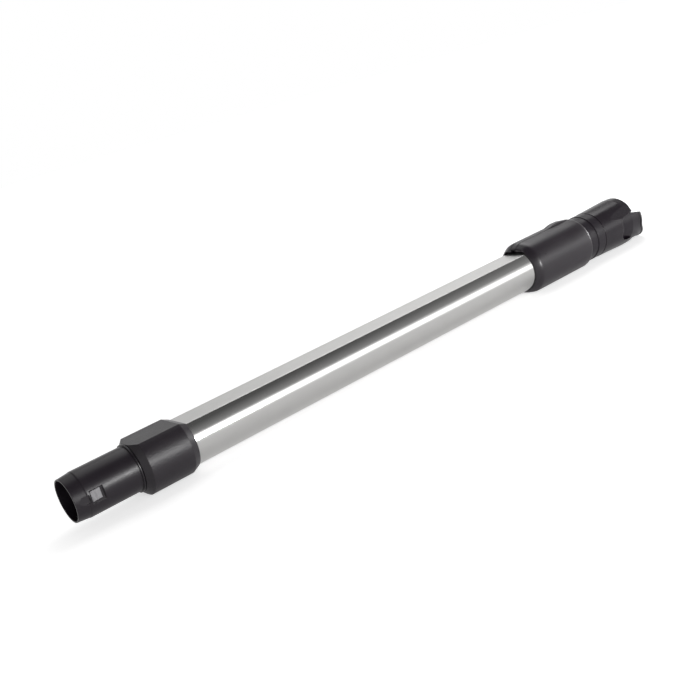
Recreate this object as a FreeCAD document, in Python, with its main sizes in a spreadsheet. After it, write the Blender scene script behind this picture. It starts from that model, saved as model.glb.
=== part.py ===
import FreeCAD, Part
import math
import os
from types import SimpleNamespace

import Sketcher

# A telescopic vacuum wand, lying on its side the way it comes to rest.
# Every piece is drawn along one axis: X runs from the mouth of the floor-nozzle
# spigot (0) to the rim of the handle socket, Z points out of the flat that runs
# along the tubes, and each piece is then placed so that the wand stands on z = 0
# with its middle at the origin. All lengths are millimetres.

SIZES = (
    # steel tubes: round with one flat along the top
    ("tube_radius", 20.0, "outside radius of the outer tube"),
    ("tube_flat", 15.6, "height of the outer tube's flat above the axis"),
    ("tube_wall", 0.8, "sheet thickness of the outer tube"),
    ("tube_span", 367.5, "bare length of the outer tube between its two collars"),
    ("tube_insert", 38.0, "length of the outer tube inside the lock collar"),
    ("inner_radius", 18.4, "outside radius of the inner tube"),
    ("inner_flat", 14.0, "height of the inner tube's flat above the axis"),
    ("inner_wall", 0.7, "sheet thickness of the inner tube"),
    # fits
    ("press_gap", 0.1, "clearance of a piece pushed over or into a tube"),
    ("slide_gap", 0.3, "clearance of a piece that slides"),
    ("seat_gap", 0.3, "lengthwise gap between two pieces that butt"),
    # spigot that takes the floor nozzle
    ("spigot_radius", 17.5, "outside radius of the spigot"),
    ("spigot_length", 49.6, "length of the spigot from its mouth to the neck ring"),
    ("spigot_bore", 15.3, "radius of the air way through the spigot"),
    ("lead_length", 9.0, "length of the tapered lead-in"),
    ("lead_drop", 1.2, "how far the lead-in falls below the spigot's radius"),
    ("lead_step", 0.3, "small step where the lead-in meets the spigot"),
    ("lead_step_length", 0.8, "length of that step"),
    ("neck_width", 1.1, "width of the raised ring in front of the collar"),
    ("neck_height", 1.1, "height of that ring over the spigot"),
    ("neck_groove", 0.5, "groove between the ring and the collar"),
    ("shoulder_length", 8.8, "shoulder of the spigot under the collar"),
    ("stem_length", 34.0, "stem of the spigot inside the outer tube"),
    ("stem_flat_wall", 1.5, "wall between the stem's flat and the air way"),
    # latch pocket of the spigot, on the side that faces the nozzle's button
    ("latch_start", 11.5, "near edge of the latch pocket"),
    ("latch_length", 10.0, "length of the latch pocket"),
    ("latch_width", 9.8, "height of the latch pocket"),
    ("latch_depth", 1.5, "depth of the latch pocket"),
    ("ramp_start", 2.5, "near end of the ramp groove"),
    ("ramp_length", 8.0, "length of the ramp groove"),
    ("ramp_width", 5.5, "height of the ramp groove"),
    ("ramp_depth", 0.9, "depth of the ramp groove under the spigot's radius"),
    # lower collar
    ("collar_radius", 23.4, "outside radius of the lower collar"),
    ("collar_flat", 18.4, "height of the collar's flat above the axis"),
    ("collar_length", 43.3, "length of the lower collar"),
    ("collar_wall", 2.0, "front wall of the collar round the spigot"),
    ("collar_nose", 4.4, "length of the cone at the collar's front"),
    ("collar_bevel", 5.5, "length of the bevel at the collar's back"),
    ("collar_bevel_drop", 2.5, "fall of that bevel"),
    ("rest_drop", 22.6, "depth of the resting lands below the axis"),
    # lock collar
    ("lock_radius", 25.0, "outside radius of the lock collar"),
    ("lock_lip", 21.0, "radius of the front lip of the lock collar"),
    ("lip_nose", 0.9, "length of the lip's steep front"),
    ("lip_nose_rise", 1.4, "rise of that front"),
    ("lip_length", 2.5, "length of the lip's second bevel"),
    ("lip_rise", 1.1, "rise of that bevel"),
    ("lock_swell", 14.6, "length over which the collar swells to its full radius"),
    ("lock_tail", 7.5, "length of the collar's taper at the back"),
    ("lock_tail_drop", 0.6, "fall of that taper"),
    ("lock_end_bevel", 2.0, "length of the bevel at the collar's end"),
    ("lock_end_drop", 1.1, "fall of that bevel"),
    ("lock_cavity_wall", 2.4, "wall round the cavity that holds the mechanism"),
    ("mouth_depth", 4.0, "depth of the relief over the tube's flat"),
    ("mouth_height", 2.2, "height of that relief over the tube's flat"),
    ("mouth_width", 20.0, "width of that relief"),
    ("channel_floor", 5.6, "height of the slider's channel over the inner tube's flat"),
    # release slider
    ("slider_width", 11.6, "width of the slider's visible strip"),
    ("slider_reach", 7.5, "how far the slider's nose stands out of the collar"),
    ("slider_nose", 8.5, "length of the nose's rounded front"),
    ("nose_front", 7.5, "fall of the nose's front edge below the slider's top"),
    ("nose_sole", 0.4, "height of the nose's sole over the outer tube's flat"),
    ("thumb_start", 46.0, "start of the thumb ramp behind the collar's front"),
    ("thumb_ramp", 12.0, "length of the thumb ramp"),
    ("thumb_rise", 2.0, "rise of the thumb ramp"),
    ("thumb_top", 8.0, "length of the crest"),
    ("thumb_top_drop", 0.4, "fall along the crest"),
    ("thumb_back", 7.5, "length of the back slope"),
    ("thumb_back_drop", 1.4, "fall of the back slope"),
    ("tail_drop", 1.2, "fall from there to the slider's end"),
    ("rail_width", 1.5, "width of each rail that keeps the slider in its channel"),
    ("rail_thickness", 1.3, "thickness of the rails"),
    ("slider_travel", 6.0, "travel of the slider towards the nozzle"),
    # wedge foot of the slider
    ("toe_gap", 1.0, "gap between the pawl's tip and the wedge's toe"),
    ("toe_rise", 0.25, "height of the wedge's toe over the pawl's sole"),
    ("wedge_lift", 2.1, "height of the wedge's heel over the pawl's sole"),
    ("toe_sole", 0.55, "height of the wedge's sole over the inner tube's flat"),
    ("heel_gap", 0.4, "gap left between the pawl's tip and the wedge's leg"),
    ("leg_thickness", 2.6, "thickness of the wedge's leg"),
    ("foot_width", 7.0, "width of the wedge foot"),
    # locking pawl
    ("pivot_inset", 5.2, "distance of the pawl's pin from the front of the guide bush"),
    ("pivot_height", 2.9, "height of the pin over the inner tube's flat"),
    ("barrel_radius", 2.0, "radius of the pawl's barrel"),
    ("pin_radius", 1.0, "radius of the pin"),
    ("pin_gap", 0.05, "running clearance of the pin in the barrel"),
    ("pin_length", 13.6, "length of the pin"),
    ("tooth_reach", 13.5, "distance of the tooth from the pin"),
    ("tooth_thickness", 3.0, "thickness of the tooth along the tube"),
    ("tooth_depth", 1.0, "how far the tooth dips below the inner tube's flat"),
    ("arm_reach", 21.5, "distance of the pawl's tip from the pin"),
    ("arm_gap", 0.9, "height of the arm over the inner tube's flat"),
    ("arm_thickness", 2.3, "thickness of the arm"),
    ("pawl_width", 8.0, "width of the pawl"),
    ("leaf_start", 2.5, "distance of the leaf spring from the pin"),
    ("leaf_length", 7.0, "length of the leaf spring"),
    ("leaf_thickness", 0.3, "thickness of the leaf spring"),
    ("leaf_width", 5.0, "width of the leaf spring"),
    ("bridge_width", 5.0, "width of the bridge over the leaf spring"),
    ("bridge_thickness", 1.0, "thickness of that bridge"),
    # guide bush and the rings behind it
    ("bush_gap", 0.3, "gap between the outer tube's end and the guide bush"),
    ("bush_wall", 1.1, "wall of the bush behind the pawl's pocket"),
    ("pocket_gap", 0.6, "gap behind the wedge's leg"),
    ("ring_gap", 0.2, "gap between the guide bush and the end ring"),
    ("ring_length", 3.2, "length of the end ring"),
    ("ring_recess", 0.4, "how deep the end ring sits in the collar"),
    ("wiper_width", 1.6, "width of the wiper ring"),
    ("wiper_depth", 2.1, "how deep the wiper ring sits in the end ring"),
    ("wiper_gap", 0.15, "clearance of the wiper ring round the inner tube"),
    # stops of the telescope
    ("notch_pitch", 30.0, "distance between two stops"),
    ("travel_spare", 7.0, "least length of bare tube that the telescope's travel leaves unused"),
    ("notch_play", 0.8, "play of the tooth in a notch, each way"),
    ("notch_width", 9.2, "width of a notch"),
    ("stop_gap", 0.5, "gap left between the guide ring and the bush at full length"),
    ("guide_length", 18.0, "length of the guide ring on the inner tube"),
    ("guide_play", 0.2, "running clearance of the guide ring in the outer tube"),
    # handle socket on the inner tube
    ("socket_gap", 1.5, "gap between the lock collar and the handle end"),
    ("front_length", 10.0, "length of the front ring"),
    ("front_radius", 22.0, "outside radius of the front ring"),
    ("socket_step", 10.7, "length of the socket's stepped front"),
    ("socket_step_radius", 22.6, "radius of that step"),
    ("socket_grip", 12.7, "length of the inner tube inside the socket"),
    ("sleeve_radius", 20.4, "outside radius of the socket's sleeve"),
    ("socket_bore", 17.9, "radius of the bore that takes the handle"),
    ("flare_start", 32.0, "start of the flare behind the cover's front edge"),
    ("flare_length", 12.0, "length of the flare"),
    ("rim_radius", 22.4, "outside radius of the rim"),
    ("rim_place", 58.5, "place of the rim's upright part, behind the cover's front edge"),
    ("rim_bend", 8.4, "depth below the axis at which the rim starts to run out into a tongue"),
    ("rim_slope", 0.8, "how far the tongue runs out per depth"),
    ("rim_round", 4.0, "length that the rounding takes from each side of that bend"),
    ("scoop_height", 5.0, "height of the rim's upper corner above the axis"),
    ("scoop_rise", 3.0, "rise of the sleeve's upper edge towards the hood"),
    ("scoop_place", 45.9, "place behind the cover's front edge where the sleeve's upper half ends"),
    # hooded cover round the socket
    ("cover_radius", 22.8, "outside radius of the cover at its front"),
    ("cover_crest_place", 38.0, "place of the cover's crest"),
    ("cover_crest", 24.1, "radius of the crest"),
    ("cover_length", 46.7, "length of the cover"),
    ("cover_end_drop", 0.3, "fall from the crest to the cover's end"),
    ("cover_wall", 1.5, "wall of the cover"),
    ("cover_seat", 2.4, "length of the cover's front wall on the sleeve"),
    ("jaw_place", 26.0, "place of the jaw's throat behind the cover's front edge"),
    ("jaw_upper", 7.8, "height of the jaw's upper lip above the axis, behind the throat"),
    ("jaw_lower", 16.0, "depth of the jaw's lower lip below the axis, behind the throat"),
    ("jaw_round", 11.0, "radius of the jaw's throat"),
    ("jaw_flare", 0.17, "how far each lip runs out per length"),
    ("facet_depth", 0.83, "depth of the cheek facets below the crest"),
    ("facet_lean", 1.8, "steepness of the cheek facets: height per width"),
    ("edge_bevel", 0.6, "bevel of the handle end's front edges"),
)


class Size:
    """A length: its number, and the expression that ties it to the sheet."""

    def __init__(self, number, text):
        self.number = number
        self.text = text

    def __add__(self, other):
        other = size_of(other)
        return Size(self.number + other.number, "(%s + %s)" % (self.text, other.text))

    def __sub__(self, other):
        other = size_of(other)
        return Size(self.number - other.number, "(%s - %s)" % (self.text, other.text))

    def __mul__(self, other):
        other = size_of(other)
        return Size(self.number * other.number, "(%s * %s)" % (self.text, other.text))

    def __truediv__(self, other):
        other = size_of(other)
        return Size(self.number / other.number, "(%s / %s)" % (self.text, other.text))

    def __neg__(self):
        return Size(-self.number, "(-1 * %s)" % self.text)

    def root(self):
        return Size(math.sqrt(self.number), "sqrt(%s)" % self.text)

    def whole(self):
        return Size(math.floor(self.number), "floor(%s)" % self.text)


def size_of(value):
    if isinstance(value, Size):
        return value
    return Size(float(value), "%g" % value)


def arc_radius(length, rise):
    """Radius of the arc that rises by rise over length and ends level."""
    return (length * length + rise * rise) / (rise * 2)


doc = FreeCAD.newDocument("vacuum_wand")
sheet = doc.addObject("Spreadsheet::Sheet", "Sizes")
sheet.set("A1", "size")
sheet.set("B1", "mm")
sheet.set("C1", "what it is")
for row, (name, number, note) in enumerate(SIZES, start=2):
    sheet.set("A%d" % row, name)
    sheet.set("B%d" % row, "%g" % number)
    sheet.setAlias("B%d" % row, name)
    sheet.set("C%d" % row, note)
doc.recompute()
d = SimpleNamespace(**{name: Size(float(getattr(sheet, name)), "Sizes.%s" % name) for name, _, _ in SIZES})
zero = Size(0.0, "0")
bodies = []


def new_body(label):
    body = doc.addObject("PartDesign::Body", label)
    body.Label = label
    bodies.append(body)
    return body


def origin_feature(body, role):
    return [f for f in body.Origin.OriginFeatures if f.Role == role][0]


def new_sketch(body, name, role, offset=zero):
    """Sketch on one of the body's own planes, moved along the plane's normal by offset."""
    sketch = body.newObject("Sketcher::SketchObject", "%s_%s" % (body.Label, name))
    sketch.AttachmentSupport = [(origin_feature(body, role), "")]
    sketch.MapMode = "FlatFace"
    sketch.AttachmentOffset = FreeCAD.Placement(FreeCAD.Vector(0, 0, offset.number), FreeCAD.Rotation())
    sketch.setExpression("AttachmentOffset.Base.z", offset.text)
    return sketch


def tie(sketch, kind, *args):
    """Dimension of a sketch, bound to the expression of its size."""
    size = args[-1]
    index = sketch.addConstraint(Sketcher.Constraint(kind, *args[:-1], size.number))
    sketch.setExpression("Constraints[%d]" % index, size.text)


def pin_point(sketch, geometry, point, u, v):
    """Fixes a point of the sketch by its two coordinates."""
    if u.text == "0":
        sketch.addConstraint(Sketcher.Constraint("PointOnObject", geometry, point, -2))
    else:
        tie(sketch, "DistanceX", -1, 1, geometry, point, u)
    if v.text == "0":
        sketch.addConstraint(Sketcher.Constraint("PointOnObject", geometry, point, -1))
    else:
        tie(sketch, "DistanceY", -1, 1, geometry, point, v)


def outline(sketch, corners):
    """Closed outline. A corner is (u, v) or (u, v, bend): the bend is the radius of the
    arc to the next corner, positive when it turns left on its way, negative when right."""
    first = sketch.GeometryCount
    ends = []
    for index, corner in enumerate(corners):
        after = corners[(index + 1) % len(corners)]
        a = FreeCAD.Vector(corner[0].number, corner[1].number, 0)
        b = FreeCAD.Vector(after[0].number, after[1].number, 0)
        if len(corner) == 2:
            sketch.addGeometry(Part.LineSegment(a, b), False)
            ends.append((1, 2))
            continue
        bend = corner[2].number
        half = (b - a) * 0.5
        height = math.sqrt(max(bend * bend - half.Length ** 2, 0.0))
        side = FreeCAD.Vector(-half.y, half.x, 0).normalize() * math.copysign(height, bend)
        centre = a + half + side
        low, high = (a, b) if bend > 0 else (b, a)
        start = math.atan2(low.y - centre.y, low.x - centre.x)
        end = math.atan2(high.y - centre.y, high.x - centre.x)
        circle = Part.Circle(centre, FreeCAD.Vector(0, 0, 1), abs(bend))
        sketch.addGeometry(Part.ArcOfCircle(circle, start, end if end > start else end + 2 * math.pi), False)
        ends.append((1, 2) if bend > 0 else (2, 1))
    for index, corner in enumerate(corners):
        after = (index + 1) % len(corners)
        sketch.addConstraint(
            Sketcher.Constraint("Coincident", first + index, ends[index][1], first + after, ends[after][0])
        )
    for index, corner in enumerate(corners):
        pin_point(sketch, first + index, ends[index][0], corner[0], corner[1])
        if len(corner) == 3:
            bend = corner[2] if corner[2].number > 0 else -corner[2]
            tie(sketch, "Radius", first + index, bend)


def rectangle(sketch, u0, u1, v0, v1):
    outline(sketch, [(u0, v0), (u1, v0), (u1, v1), (u0, v1)])


def circle(sketch, radius, v=zero):
    index = sketch.addGeometry(Part.Circle(FreeCAD.Vector(0, v.number, 0), FreeCAD.Vector(0, 0, 1), radius.number), False)
    pin_point(sketch, index, 3, zero, v)
    tie(sketch, "Radius", index, radius)


def circle_at(sketch, radius, u, v):
    place = FreeCAD.Vector(u.number, v.number, 0)
    index = sketch.addGeometry(Part.Circle(place, FreeCAD.Vector(0, 0, 1), radius.number), False)
    pin_point(sketch, index, 3, u, v)
    tie(sketch, "Radius", index, radius)


def dee(sketch, radius, flat):
    """Section of the tubes: a circle cut by a flat above the axis."""
    half = math.sqrt(radius.number ** 2 - flat.number ** 2)
    angle = math.atan2(flat.number, half)
    arc = Part.ArcOfCircle(
        Part.Circle(FreeCAD.Vector(0, 0, 0), FreeCAD.Vector(0, 0, 1), radius.number),
        math.pi - angle,
        2 * math.pi + angle,
    )
    curve = sketch.addGeometry(arc, False)
    line = sketch.addGeometry(
        Part.LineSegment(FreeCAD.Vector(half, flat.number, 0), FreeCAD.Vector(-half, flat.number, 0)), False
    )
    sketch.addConstraint(Sketcher.Constraint("Coincident", curve, 3, -1, 1))
    sketch.addConstraint(Sketcher.Constraint("Coincident", curve, 2, line, 1))
    sketch.addConstraint(Sketcher.Constraint("Coincident", curve, 1, line, 2))
    sketch.addConstraint(Sketcher.Constraint("Horizontal", line))
    tie(sketch, "Radius", curve, radius)
    tie(sketch, "DistanceY", -1, 1, line, 1, flat)


def pad(body, sketch, length, symmetric=False):
    feature = body.newObject("PartDesign::Pad", "%s_pad" % sketch.Label)
    feature.Profile = sketch
    feature.Length = length.number
    feature.setExpression("Length", length.text)
    if symmetric:
        feature.SideType = "Symmetric"
    sketch.Visibility = False
    return feature


def pocket(body, sketch, length=None, symmetric=False, along=True):
    """Cut along the plane's normal, or against it; without a length it goes right through."""
    feature = body.newObject("PartDesign::Pocket", "%s_cut" % sketch.Label)
    feature.Profile = sketch
    if symmetric:
        feature.SideType = "Symmetric"
    else:
        feature.Reversed = along
    if length is None:
        feature.Type = "ThroughAll"
    else:
        feature.Length = length.number
        feature.setExpression("Length", length.text)
    return feature


def turn(body, sketch, kind="PartDesign::Revolution"):
    """Turned form about the wand's axis."""
    feature = body.newObject(kind, "%s_turned" % sketch.Label)
    feature.Profile = sketch
    feature.ReferenceAxis = (sketch, ["H_Axis"])
    feature.Angle = 360.0
    return feature


def dee_tube(label, start, length, outer, inner):
    """Straight length of D-shaped tube or ring between two (radius, flat) sections."""
    body = new_body(label)
    section = new_sketch(body, "section", "YZ_Plane", start)
    dee(section, *outer)
    dee(section, *inner)
    pad(body, section, length)
    return body


def rest_land(body, start, end):
    """Flat underneath on which the wand lies."""
    sketch = new_sketch(body, "land", "XZ_Plane")
    rectangle(sketch, start, end, -(d.rest_drop * 2), -d.rest_drop)
    pocket(body, sketch, symmetric=True)


# Stations along the wand, each from the piece before it
neck_start = d.spigot_length
collar_start = neck_start + d.neck_width + d.neck_groove
collar_end = collar_start + d.collar_length
shoulder_start = collar_start + d.collar_wall
tube_start = shoulder_start + d.shoulder_length
lock_start = collar_end + d.tube_span
tube_end = lock_start + d.tube_insert
bush_start = tube_end + d.bush_gap
pivot_x = bush_start + d.pivot_inset
tooth_x = pivot_x + d.tooth_reach
pawl_tip = pivot_x + d.arm_reach
leg_start = pawl_tip + d.slider_travel + d.heel_gap
leg_end = leg_start + d.leg_thickness
pocket_start = pivot_x - d.barrel_radius - d.slide_gap
pocket_end = leg_end + d.pocket_gap
bush_end = pocket_end + d.bush_wall
ring_start = bush_end + d.ring_gap
ring_end = ring_start + d.ring_length
lock_end = ring_end + d.ring_recess
front_start = lock_end + d.socket_gap
socket_start = front_start + d.front_length + d.seat_gap
inner_end = socket_start + d.socket_grip
cover_start = socket_start + d.socket_step + d.seat_gap
rim_x = cover_start + d.rim_place
steps = ((d.tube_span - d.travel_spare) / d.notch_pitch).whole()
travel = d.notch_pitch * steps
guide_end = bush_start - travel - d.stop_gap
inner_start = guide_end - d.guide_length

# Heights over the axis
channel_floor = d.inner_flat + d.channel_floor
slider_sole = channel_floor + d.slide_gap
slider_half = d.slider_width / 2
pivot_z = d.inner_flat + d.pivot_height
arm_sole = d.inner_flat + d.arm_gap
arm_top = arm_sole + d.arm_thickness
bush_bore = (d.inner_radius + d.slide_gap, d.inner_flat + d.slide_gap)
tube_section = (d.tube_radius, d.tube_flat)
tube_bore = (d.tube_radius - d.tube_wall, d.tube_flat - d.tube_wall)
inner_section = (d.inner_radius, d.inner_flat)
inner_bore = (d.inner_radius - d.inner_wall, d.inner_flat - d.inner_wall)
inner_press = (d.inner_radius + d.press_gap, d.inner_flat + d.press_gap)
cavity_radius = d.lock_radius - d.lock_cavity_wall
bush_radius = cavity_radius - d.slide_gap

# Overall length: the rim's tongue reaches furthest at its lowest point
overall = rim_x + d.rim_slope * (d.rim_radius - d.rim_bend)

# Outer tube
outer_tube = dee_tube("outer_tube", tube_start, tube_end - tube_start, tube_section, tube_bore)

# Spigot for the floor nozzle: turned front, D-shaped shoulder and stem
spigot = new_body("nozzle_spigot")
profile = new_sketch(spigot, "profile", "XZ_Plane")
neck_radius = d.spigot_radius + d.neck_height
outline(profile, [
    (zero, zero),
    (zero, d.spigot_radius - d.lead_drop),
    (d.lead_length, d.spigot_radius - d.lead_step),
    (d.lead_length + d.lead_step_length, d.spigot_radius),
    (neck_start, d.spigot_radius),
    (neck_start, neck_radius),
    (neck_start + d.neck_width, neck_radius),
    (neck_start + d.neck_width, d.spigot_radius),
    (shoulder_start, d.spigot_radius),
    (shoulder_start, zero),
])
turn(spigot, profile)
shoulder = new_sketch(spigot, "shoulder", "YZ_Plane", shoulder_start)
dee(shoulder, *tube_section)
pad(spigot, shoulder, d.shoulder_length)
stem = new_sketch(spigot, "stem", "YZ_Plane", tube_start)
stem_section = (tube_bore[0] - d.press_gap, tube_bore[1] - d.press_gap)
dee(stem, *stem_section)
pad(spigot, stem, d.stem_length)
bore = new_sketch(spigot, "bore", "YZ_Plane")
circle(bore, d.spigot_bore)
pocket(spigot, bore, collar_start)
stem_bore = new_sketch(spigot, "stem_bore", "YZ_Plane", collar_start)
dee(stem_bore, d.spigot_bore, stem_section[1] - d.stem_flat_wall)
pocket(spigot, stem_bore)
latch = new_sketch(spigot, "latch", "XZ_Plane", d.spigot_radius - d.latch_depth)
latch_end = d.latch_start + d.latch_length
rectangle(latch, d.latch_start, latch_end, -(d.latch_width / 2), d.latch_width / 2)
pocket(spigot, latch, d.latch_depth * 2)
ramp = new_sketch(spigot, "ramp", "XZ_Plane", d.spigot_radius - d.ramp_depth)
ramp_end = d.ramp_start + d.ramp_length
rectangle(ramp, d.ramp_start, ramp_end, -(d.ramp_width / 2), d.ramp_width / 2)
pocket(spigot, ramp, d.ramp_depth * 2)

# Lower collar: coned front, flat on top like the tube, bevelled back
collar = new_body("lower_collar")
profile = new_sketch(collar, "profile", "XZ_Plane")
bevel_start = collar_end - d.collar_bevel
outline(profile, [
    (collar_start, zero),
    (collar_start, neck_radius + d.press_gap * 2),
    (collar_start + d.collar_nose, d.collar_radius),
    (bevel_start, d.collar_radius),
    (collar_end, d.collar_radius - d.collar_bevel_drop),
    (collar_end, zero),
])
turn(collar, profile)
flat = new_sketch(collar, "flat", "XZ_Plane")
outline(flat, [
    (collar_start - d.collar_nose, d.collar_flat),
    (bevel_start, d.collar_flat),
    (collar_end, d.collar_flat - d.collar_bevel_drop),
    (collar_end + d.collar_bevel, d.collar_flat - d.collar_bevel_drop),
    (collar_end + d.collar_bevel, d.collar_radius * 2),
    (collar_start - d.collar_nose, d.collar_radius * 2),
])
pocket(collar, flat, symmetric=True)
front_hole = new_sketch(collar, "front_hole", "YZ_Plane", collar_start)
circle(front_hole, d.spigot_radius + d.press_gap)
pocket(collar, front_hole, d.collar_wall)
bore = new_sketch(collar, "bore", "YZ_Plane", shoulder_start)
dee(bore, d.tube_radius + d.press_gap, d.tube_flat + d.press_gap)
pocket(collar, bore)
rest_land(collar, collar_start, collar_end)

# Lock collar: swollen turned body with a slider channel along its top
lock = new_body("lock_body")
profile = new_sketch(lock, "profile", "XZ_Plane")
lip_start = lock_start + d.lip_nose
lip_end = lip_start + d.lip_length
swell_end = lip_end + d.lock_swell
bevel_start = lock_end - d.lock_end_bevel
outline(profile, [
    (lock_start, zero),
    (lock_start, d.lock_lip),
    (lip_start, d.lock_lip + d.lip_nose_rise),
    (lip_end, d.lock_lip + d.lip_nose_rise + d.lip_rise),
    (swell_end, d.lock_radius),
    (bevel_start - d.lock_tail, d.lock_radius),
    (bevel_start, d.lock_radius - d.lock_tail_drop),
    (lock_end, d.lock_radius - d.lock_tail_drop - d.lock_end_drop),
    (lock_end, zero),
])
turn(lock, profile)
bore = new_sketch(lock, "tube_bore", "YZ_Plane", lock_start)
dee(bore, d.tube_radius + d.press_gap, d.tube_flat + d.press_gap)
pocket(lock, bore, d.tube_insert)
cavity = new_sketch(lock, "cavity", "YZ_Plane", tube_end)
circle(cavity, cavity_radius)
pocket(lock, cavity)
channel = new_sketch(lock, "channel", "YZ_Plane", lock_start)
channel_half = slider_half + d.slide_gap
rail_half = channel_half + d.rail_width
rail_top = slider_sole + d.rail_thickness + d.slide_gap
outline(channel, [
    (-rail_half, channel_floor),
    (rail_half, channel_floor),
    (rail_half, rail_top),
    (channel_half, rail_top),
    (channel_half, d.lock_radius * 2),
    (-channel_half, d.lock_radius * 2),
    (-channel_half, rail_top),
    (-rail_half, rail_top),
])
pocket(lock, channel)
mouth = new_sketch(lock, "mouth", "YZ_Plane", lock_start)
mouth_half = d.mouth_width / 2
rectangle(mouth, -mouth_half, mouth_half, d.inner_flat, d.tube_flat + d.mouth_height)
pocket(lock, mouth, d.mouth_depth)
rest_land(lock, lock_start, lock_end)

# Guide bush: carries the pawl and guides the inner tube
bush = new_body("guide_bush")
section = new_sketch(bush, "section", "YZ_Plane", bush_start)
dee(section, bush_radius, channel_floor)
dee(section, *bush_bore)
pad(bush, section, bush_end - bush_start)
well = new_sketch(bush, "well", "XY_Plane")
well_half = d.pawl_width / 2 + d.slide_gap
rectangle(well, pocket_start, pocket_end, -well_half, well_half)
pocket(bush, well)
saddle = new_sketch(bush, "saddle", "XY_Plane", pivot_z - d.pin_radius)
saddle_half = d.pin_length / 2 + d.press_gap
rectangle(saddle, pivot_x - d.pin_radius, pivot_x + d.pin_radius, -saddle_half, saddle_half)
pocket(bush, saddle)
bridge = new_sketch(bush, "bridge", "XY_Plane", channel_floor - d.bridge_thickness)
bridge_x = pivot_x + d.leaf_start + d.leaf_length / 2
bridge_half = d.bridge_width / 2
rectangle(bridge, bridge_x - bridge_half, bridge_x + bridge_half, -(well_half + d.pin_radius), well_half + d.pin_radius)
pad(bush, bridge, d.bridge_thickness)

# Ring that closes the collar, with the wiper in its front face
end_ring = dee_tube("lock_end_ring", ring_start, d.ring_length, (bush_radius, channel_floor), bush_bore)
recess = new_sketch(end_ring, "recess", "YZ_Plane", ring_start)
wiper_section = (d.inner_radius + d.wiper_depth, d.inner_flat + d.wiper_depth)
dee(recess, wiper_section[0] + d.press_gap, wiper_section[1] + d.press_gap)
pocket(end_ring, recess, d.wiper_width + d.press_gap)
wiper_bore = (d.inner_radius + d.wiper_gap, d.inner_flat + d.wiper_gap)
wiper = dee_tube("wiper_ring", ring_start, d.wiper_width, wiper_section, wiper_bore)

# Locking pawl: barrel, arm and tooth
pawl = new_body("lock_pawl")
side = new_sketch(pawl, "side", "XZ_Plane")
tooth_half = d.tooth_thickness / 2
outline(side, [
    (pivot_x, arm_sole),
    (tooth_x - tooth_half, arm_sole),
    (tooth_x - tooth_half, d.inner_flat - d.tooth_depth),
    (tooth_x + tooth_half, d.inner_flat - d.tooth_depth),
    (tooth_x + tooth_half, arm_sole),
    (pawl_tip, arm_sole),
    (pawl_tip, arm_top),
    (pivot_x, arm_top),
])
pad(pawl, side, d.pawl_width, symmetric=True)
barrel = new_sketch(pawl, "barrel", "XZ_Plane")
circle_at(barrel, d.barrel_radius, pivot_x, pivot_z)
pad(pawl, barrel, d.pawl_width, symmetric=True)
eye = new_sketch(pawl, "eye", "XZ_Plane")
circle_at(eye, d.pin_radius + d.pin_gap, pivot_x, pivot_z)
pocket(pawl, eye, symmetric=True)

# Pin of the pawl
pin = new_body("pawl_pin")
section = new_sketch(pin, "section", "XZ_Plane")
circle_at(section, d.pin_radius, pivot_x, pivot_z)
pad(pin, section, d.pin_length, symmetric=True)

# Leaf spring between the pawl and the bridge
leaf = new_body("pawl_spring")
section = new_sketch(leaf, "section", "XZ_Plane")
leaf_start = pivot_x + d.leaf_start
leaf_end = leaf_start + d.leaf_length
leaf_rise = channel_floor - d.bridge_thickness - arm_top - d.leaf_thickness
leaf_bend = arc_radius(d.leaf_length / 2, leaf_rise)
outline(section, [
    (leaf_start, arm_top),
    (leaf_start, arm_top + d.leaf_thickness, -leaf_bend),
    (leaf_end, arm_top + d.leaf_thickness),
    (leaf_end, arm_top, leaf_bend),
])
pad(leaf, section, d.leaf_width, symmetric=True)

# Release slider: rounded nose, thumb ramp, rails and wedge foot
slider = new_body("release_slider")
side = new_sketch(slider, "side", "XZ_Plane")
nose_x = lock_start - d.slider_reach
nose_sole = d.tube_flat + d.nose_sole
slider_end = lock_end - d.slide_gap
ramp_x = lock_start + d.thumb_start
crest_x = ramp_x + d.thumb_ramp
fall_x = crest_x + d.thumb_top
back_x = fall_x + d.thumb_back
crest_z = d.lock_radius + d.thumb_rise
fall_z = crest_z - d.thumb_top_drop
back_z = fall_z - d.thumb_back_drop
outline(side, [
    (nose_x + d.slide_gap * 2, nose_sole),
    (lock_start - d.seat_gap, nose_sole),
    (lock_start - d.seat_gap, slider_sole),
    (slider_end, slider_sole),
    (slider_end, back_z - d.tail_drop),
    (back_x, back_z),
    (fall_x, fall_z),
    (crest_x, crest_z),
    (ramp_x, d.lock_radius),
    (nose_x + d.slider_nose, d.lock_radius, arc_radius(d.nose_front, d.slider_nose)),
    (nose_x, d.lock_radius - d.nose_front),
])
pad(slider, side, d.slider_width, symmetric=True)
rails = new_sketch(slider, "rails", "XY_Plane", slider_sole)
rails_half = slider_half + d.rail_width
rectangle(rails, lock_start + d.slider_travel + d.seat_gap, leg_end, -rails_half, rails_half)
pad(slider, rails, d.rail_thickness)
foot = new_sketch(slider, "foot", "XZ_Plane")
toe_x = pawl_tip + d.toe_gap
foot_sole = d.inner_flat + d.toe_sole
outline(foot, [
    (toe_x, foot_sole),
    (leg_end, foot_sole),
    (leg_end, slider_sole + d.rail_thickness),
    (leg_start, slider_sole + d.rail_thickness),
    (leg_start, arm_sole + d.wedge_lift),
    (toe_x, arm_sole + d.toe_rise),
])
pad(slider, foot, d.foot_width, symmetric=True)

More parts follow.
